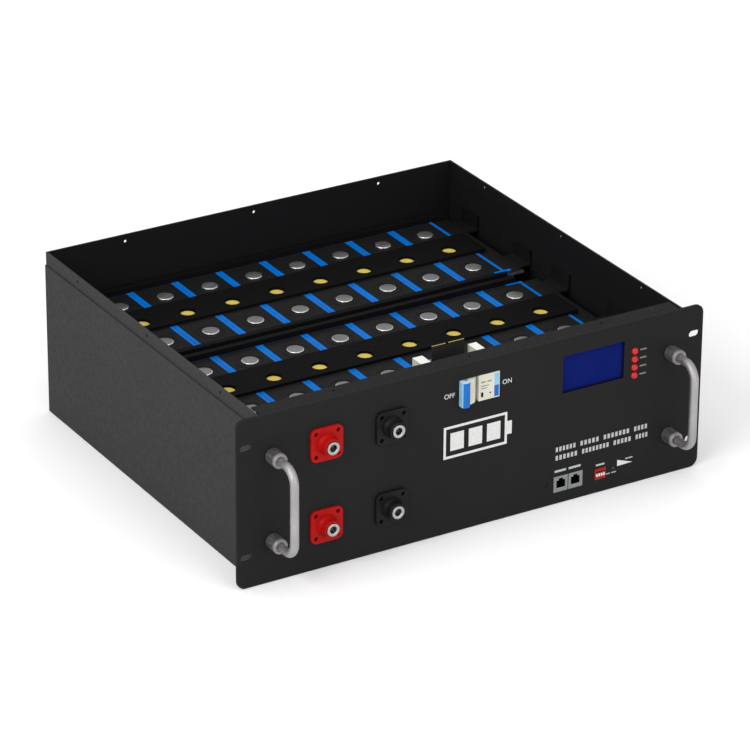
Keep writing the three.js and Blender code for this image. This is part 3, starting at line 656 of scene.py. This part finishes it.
def cell(row, number):
    node = f"cell_{row}_{number}"
    low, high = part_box(node)
    x, y = (low.x + high.x) / 2, (low.y + high.y) / 2
    top = high.z - STUD_HEIGHT

    def can(bm):
        box_in(bm, low, (high.x, high.y, top))

    body = add_piece(f"{node}_can", can, MATERIALS["cell_film"], bevel=FINE_EDGE, segments=2)
    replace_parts(body, node)

    def cover(bm):
        reach = (high.y - low.y) / 2 - PLATE_INSET
        box_in(bm, (x - PLATE_HALF, y - reach, top - 0.2 * MM), (x + PLATE_HALF, y + reach, top + 0.55 * MM))
        rim = [(RIM_INNER, 0), (RIM_OUTER, 0), (RIM_OUTER, 0.25 * MM), (RIM_OUTER - 0.4 * MM, RIM_HEIGHT),
               (RIM_INNER + 0.3 * MM, RIM_HEIGHT), (RIM_INNER, 0.25 * MM), (RIM_INNER, 0)]
        for sign in (-1, 1):
            ring_in(bm, (x, y + sign * STUD_OUT, top + 0.5 * MM), (0, 0, 1), rim, 48)

    add_piece(f"{node}_cover", cover, CELL_TOP_BLACK, bevel=0.3 * MM, segments=2, smooth=False)

    def studs(bm):
        profile = [(0, 0), (STUD_RADIUS, 0), (STUD_RADIUS, 1.5 * MM), (STUD_RADIUS - 0.2 * MM, 1.85 * MM),
                   (STUD_RADIUS - 0.7 * MM, STUD_HEIGHT), (0, STUD_HEIGHT)]
        for sign in (-1, 1):
            ring_in(bm, (x, y + sign * STUD_OUT, top), (0, 0, 1), profile, 48)

    studs_piece = add_piece(f"{node}_studs", studs, STUD_METAL)
    # the studs' sides get a painted highlight, their tops the plain stud metal
    studs_piece.data.materials.append(STUD_RIM_HIGHLIGHT)
    for polygon in studs_piece.data.polygons:
        if abs(polygon.normal.z) < SIDE_TURN:
            polygon.material_index = 1

    def vent(bm):
        profile = [(0, 0), (VENT_RADIUS, 0), (VENT_RADIUS, 0.6 * MM), (VENT_RADIUS - 0.3 * MM, VENT_HEIGHT),
                   (VENT_RADIUS - MM, 0.85 * MM), (4 * MM, 0.6 * MM), (0, 0.55 * MM)]
        ring_in(bm, (x, y, top), (0, 0, 1), profile, 48)

    add_piece(f"{node}_vent", vent, VENT_YELLOW)


def film_fold(row):
    """The film's loose edge at the right end of a row, with its long tail folded along the row."""
    low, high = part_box(f"cell_{row}_8")
    right = high.x - 0.4 * MM
    if row == "back":
        rear = low.y
        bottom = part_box("insulation_board_back_row_front")[1].z + 0.1 * MM
    else:
        rear = high.y
        bottom = high.z - STUD_HEIGHT + 0.25 * MM
    shape = [(0, 0.8), (0, 4.6), (-4.2, 4.6), (-5.0, 3.4), (-16.5, 3.0), (-18.0, 1.6), (-17.2, 0.8)]
    outline = [(right + across * MM, rear - forward * MM) for across, forward in shape]

    def make(bm):
        upright_solid(bm, outline, bottom, bottom + 0.5 * MM)

    add_piece(f"film_fold_{row}", make, MATERIALS["cell_film"], bevel=FINE_EDGE, segments=2)


# ---- Print and small marks ----------------------------------------------------------

PANEL_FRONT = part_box("front_panel")[0].y
PRINT_LIFT, PRINT_DEPTH = 0.06 * MM, 0.02 * MM
WORD_HEIGHT = 6.4
GLYPH_PITCH, GLYPH_WIDTH, GLYPH_HEIGHT = 4, 0.62, 4.6


def print_bars(name, bars, material=PRINT_WHITE):
    """Flat printed bars on the front panel; each is (left, right, low, high) in millimetres."""
    def make(bm):
        for left, right, low, high in bars:
            box_in(bm, (left * MM, PANEL_FRONT - PRINT_LIFT, low * MM),
                   (right * MM, PANEL_FRONT + PRINT_DEPTH, high * MM))
    add_piece(name, make, material, smooth=False)


def print_word(name, word, x, z):
    """A generic word, such as ON, printed on the front panel."""
    curve = bpy.data.curves.new(name, "FONT")
    curve.body = word
    curve.size = WORD_HEIGHT * MM
    curve.extrude = PRINT_LIFT
    curve.align_x = "CENTER"
    curve.align_y = "CENTER"
    piece = bpy.data.objects.new(name, curve)
    bpy.context.scene.collection.objects.link(piece)
    curve.materials.append(PRINT_WHITE)
    piece.rotation_euler = (math.pi / 2, 0, 0)
    piece.location = (x * MM, PANEL_FRONT, z * MM)
    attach(piece, BODY)


def panel_print():
    print_word("label_off", "OFF", -27.6, 135)
    print_word("label_on", "ON", 32.2, 135.4)
    # a plain battery outline with three charge blocks
    print_bars("battery_mark", [(-33, 33, 103, 105.4), (-33, 33, 74, 76.4), (-33, -30.6, 76.4, 103),
                                (30.6, 33, 76.4, 103), (33, 38, 83, 96), (-26, -12, 81, 98.4),
                                (-7, 7, 81, 98.4), (12, 26, 81, 98.4)])
    # two rows of short blocks, grouped like words
    blocks = []
    for z, words in ((51.9, ((85.6, 108), (112, 133), (137, 166), (170, 185.4))),
                     (43.4, ((85.6, 110), (114, 144), (148, 168), (172, 186)))):
        for left, right in words:
            count = round((right - left) / GLYPH_PITCH)
            step = (right - left) / count
            starts = [left + i * step for i in range(count)]
            blocks += [(start, start + GLYPH_WIDTH * step, z, z + GLYPH_HEIGHT) for start in starts]
    print_bars("rating_lines", blocks, PRINT_SOFT)
    print_bars("port_labels", [(85, 97.2, 31.2, 33.4), (100, 112.8, 31.2, 33.4), (129.4, 138.6, 26.6, 28.4),
                               (140.6, 145, 15.6, 16.6), (146.6, 151.6, 15.6, 16.6),
                               (161.4, 169.2, 26, 27.2)], PRINT_SOFT)
    lamp_bottoms = [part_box(f"status_lamp_{i}")[0].z / MM for i in range(1, 5)]
    print_bars("lamp_labels", [(173.5, 180.5, z + 2.6, z + 4) for z in lamp_bottoms], PRINT_FAINT)

    def wedge(bm):
        outline = [(152.6 * MM, 21.2 * MM), (152.6 * MM, 27.4 * MM), (169.2 * MM, 21.6 * MM)]
        facing_solid(bm, outline, PANEL_FRONT - PRINT_LIFT, PANEL_FRONT + PRINT_DEPTH)

    add_piece("level_wedge", wedge, PRINT_WHITE, smooth=False)


# ---- Lamps, button and breaker ------------------------------------------------------

LENS_STEPS = 10
CAP_RADIUS, CAP_COLLAR, CAP_HEIGHT = 1.88 * MM, 2.85 * MM, 2.45 * MM
BARREL_PLACE = (-8 * MM, 7 * MM)
BARREL_RADIUS, BARREL_RIDGE = 9.85 * MM, 0.18 * MM
BARREL_START, BARREL_SWEEP, BARREL_STEPS = -168, 156, 40
LEVER_SPAN = (-18.1 * MM, -9.7 * MM)
LEVER_NOSE, LEVER_STEPS, LEVER_GAP = 3.2 * MM, 16, 0.5 * MM
MARK_LIFT = 0.05 * MM


def lamp_lens(node, name, slot):
    """A domed lens, proud of the panel by as much as its CAD node is."""
    low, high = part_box(node)
    x, z = (low.x + high.x) / 2, (low.z + high.z) / 2
    radius = (high.x - low.x) / 2
    proud = PANEL_FRONT - low.y
    length = high.y - low.y

    def make(bm):
        profile = [(0, 0)]
        for i in range(1, LENS_STEPS + 1):
            angle = math.pi / 2 * i / LENS_STEPS
            profile.append((radius * math.sin(angle), proud * (1 - math.cos(angle))))
        profile += [(radius, length), (0, length)]
        ring_in(bm, (x, low.y, z), (0, 1, 0), profile, 40)

    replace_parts(add_piece(name, make, MATERIALS[slot]), node)


def reset_cap():
    low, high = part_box("reset_button")
    x, z = (low.x + high.x) / 2, (low.z + high.z) / 2
    length = high.y - low.y

    def make(bm):
        profile = [(0, 0.25 * MM), (1.0 * MM, 0.12 * MM), (1.6 * MM, 0), (CAP_RADIUS, 0.25 * MM),
                   (CAP_RADIUS, CAP_HEIGHT), (CAP_COLLAR, CAP_HEIGHT), (CAP_COLLAR, length), (0, length)]
        ring_in(bm, (x, low.y, z), (0, 1, 0), profile, 32)

    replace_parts(add_piece("reset_cap", make, MATERIALS["button_black"], body="reset"),
                "reset_button")


def toggle_pieces():
    """The blue lever and the ivory barrel that it turns with."""
    low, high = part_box("breaker_toggle")
    axis_x, axis_y = BARREL_PLACE[0], PANEL_FRONT + BARREL_PLACE[1]

    def barrel(bm):
        outline = []
        for i in range(BARREL_STEPS + 1):
            angle = math.radians(BARREL_START + (i / BARREL_STEPS) * BARREL_SWEEP)
            radius = BARREL_RADIUS - BARREL_RIDGE * (i % 2)
            outline.append((axis_x + radius * math.cos(angle), axis_y + radius * math.sin(angle)))
        upright_solid(bm, outline, low.z, high.z)

    piece = add_piece("toggle_barrel", barrel, MATERIALS["breaker_ivory"], body="toggle",
                      smooth=False)
    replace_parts(piece, "breaker_toggle")
    left, right = LEVER_SPAN
    front = low.y

    def lever(bm):
        middle, half = (left + right) / 2, (right - left) / 2
        outline = [(left, PANEL_FRONT - LEVER_GAP)]
        for i in range(LEVER_STEPS + 1):
            angle = math.pi * (1 + i / LEVER_STEPS)
            outline.append((middle + half * math.cos(angle), front + LEVER_NOSE * (1 + math.sin(angle))))
        outline.append((right, PANEL_FRONT + LEVER_GAP))
        upright_solid(bm, outline, low.z, high.z)

    handle = add_piece("toggle_lever", lever, MATERIALS["breaker_blue"], body="toggle",
                       bevel=PLATE_EDGE, segments=3, smooth=False)
    # the lever's left side faces get a paler blue and its top faces a pale blue, both painted highlight
    handle.data.materials.append(PALE_BLUE_PRINT_AND_LIT_SIDE)
    handle.data.materials.append(LEVER_TOP_HIGHLIGHT)
    for polygon in handle.data.polygons:
        if polygon.normal.z > UPWARD:
            polygon.material_index = 2
        elif polygon.normal.x < -0.7:
            polygon.material_index = 1


def breaker_marks():
    """The stripe, the print and the slots on the breaker's face, the slots as flat marks of painted shade."""
    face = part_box("breaker_body")[0].y

    def bars(name, spans, material, slot):
        def make(bm):
            for left, right, bottom, top in spans:
                box_in(bm, (left * MM, face - MARK_LIFT, bottom * MM),
                       (right * MM, face + MARK_LIFT, top * MM))
        add_piece(name, make, material, smooth=False)

    bars("breaker_stripe", [(18.4, 23.2, 124.2, 135.2)], MATERIALS["breaker_blue"], "breaker_blue")
    bars("breaker_stripe_pale", [(18.4, 23.2, 135.6, 146.8)], PALE_BLUE_PRINT_AND_LIT_SIDE, "breaker_blue")
    bars("breaker_grey_print", [(4.5, 9.5, 140.2, 141.4), (11, 15.5, 140.2, 141.4), (4.5, 13, 136.6, 137.4),
                                (4.5, 11, 134.2, 135)], PRINT_GREY, "breaker_ivory")
    # the slots are flat marks of painted shade
    bars("breaker_test_slot_shade", [(4.6, 7.0, 126.5, 131.0), (13.6, 15.0, 128.4, 129.8)], RECESS_SHADE,
         "breaker_ivory")


# ---- Light and floor ----------------------------------------------------------------

FLOOR_SIZE, FLOOR_DROP = 30, -0.0005
LIGHT_TARGET = (0, 0, 0.08)
SKY_STRENGTH = 0.85


def area_light(name, place, size, power):
    data = bpy.data.lights.new(name, "AREA")
    data.size = size
    data.energy = power
    light = bpy.data.objects.new(name, data)
    bpy.context.scene.collection.objects.link(light)
    light.location = place
    light.rotation_mode = "QUATERNION"
    light.rotation_quaternion = (Vector(LIGHT_TARGET) - Vector(place)).to_track_quat("-Z", "Y")


def studio():
    bpy.ops.mesh.primitive_plane_add(size=FLOOR_SIZE, location=(0, 0, FLOOR_DROP))
    floor = bpy.context.object
    floor.name = "floor"
    paper = Finish("floor_paper", 0.9, specular=0.1)
    paper.colour(paper.ramp(paper.noise(1.5, 2), [(0.2, (0.93, 0.93, 0.93)), (0.8, (0.96, 0.96, 0.96))]))
    floor.data.materials.append(paper.material)
    area_light("key", (-2.6, -1.0, 2.0), 1.8, 58)
    area_light("front", (0.4, -3.0, 1.4), 2.0, 22)
    area_light("top", (-0.3, -0.2, 3.0), 2.0, 10)
    world = bpy.data.worlds.new("studio")
    bpy.context.scene.world = world
    world.use_nodes = True
    background = world.node_tree.nodes["Background"]
    background.inputs["Color"].default_value = (1, 1, 1, 1)
    background.inputs["Strength"].default_value = SKY_STRENGTH
    bpy.context.scene.view_settings.view_transform = "Standard"


# ---- Assembly -----------------------------------------------------------------------

make_camera()
finish_carried_nodes()
for side in SIDES:
    handle_grip(side)
    for level in LEVELS:
        handle_ferrule(side, level)
for polarity in POLARITIES:
    for level in LEVELS:
        terminal(polarity, level)
for row in ROWS:
    for number in range(1, 9):
        cell(row, number)
for row in ROWS:
    film_fold(row)
for i in range(1, 5):
    lamp_lens(f"status_lamp_{i}", f"status_lens_{i}", "lamp_red")
lamp_lens("run_lamp", "run_lens", "lamp_dark")
reset_cap()
toggle_pieces()
breaker_marks()
panel_print()
studio()

bpy.context.view_layer.update()
